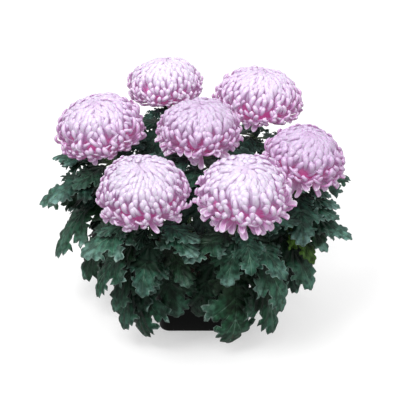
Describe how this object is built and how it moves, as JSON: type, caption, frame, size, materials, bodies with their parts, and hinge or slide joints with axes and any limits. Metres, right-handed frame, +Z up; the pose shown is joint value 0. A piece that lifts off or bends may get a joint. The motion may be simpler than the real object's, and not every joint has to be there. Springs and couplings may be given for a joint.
{
  "type": "pot chrysanthemum",
  "caption": "Potted chrysanthemum: large round incurved blooms on leafy stems over a hanging skirt of lobed leaves, rooted in a rounded square plastic pot.",
  "frame": {"origin": "centre of the pot's flat base, on the surface it stands on", "axes": "+Z up; the side that the picture shows faces -Y; +X is to the right in the picture"},
  "size_m": [0.4756, 0.4286, 0.3698],
  "materials": {
    "pot_plastic": "satin",
    "soil": "matte",
    "foliage": "satin",
    "petals": "matte"
  },
  "bodies": {
    "root": {"pot": "pot_plastic", "soil": "soil", "stem_1": "foliage", "stem_2": "foliage", "stem_3": "foliage", "stem_4": "foliage", "stem_5": "foliage", "stem_6": "foliage", "stem_7": "foliage", "bloom_1": "petals", "bloom_2": "petals", "bloom_3": "petals", "bloom_4": "petals", "bloom_5": "petals", "bloom_6": "petals", "bloom_7": "petals"}
  },
  "joints": []
}
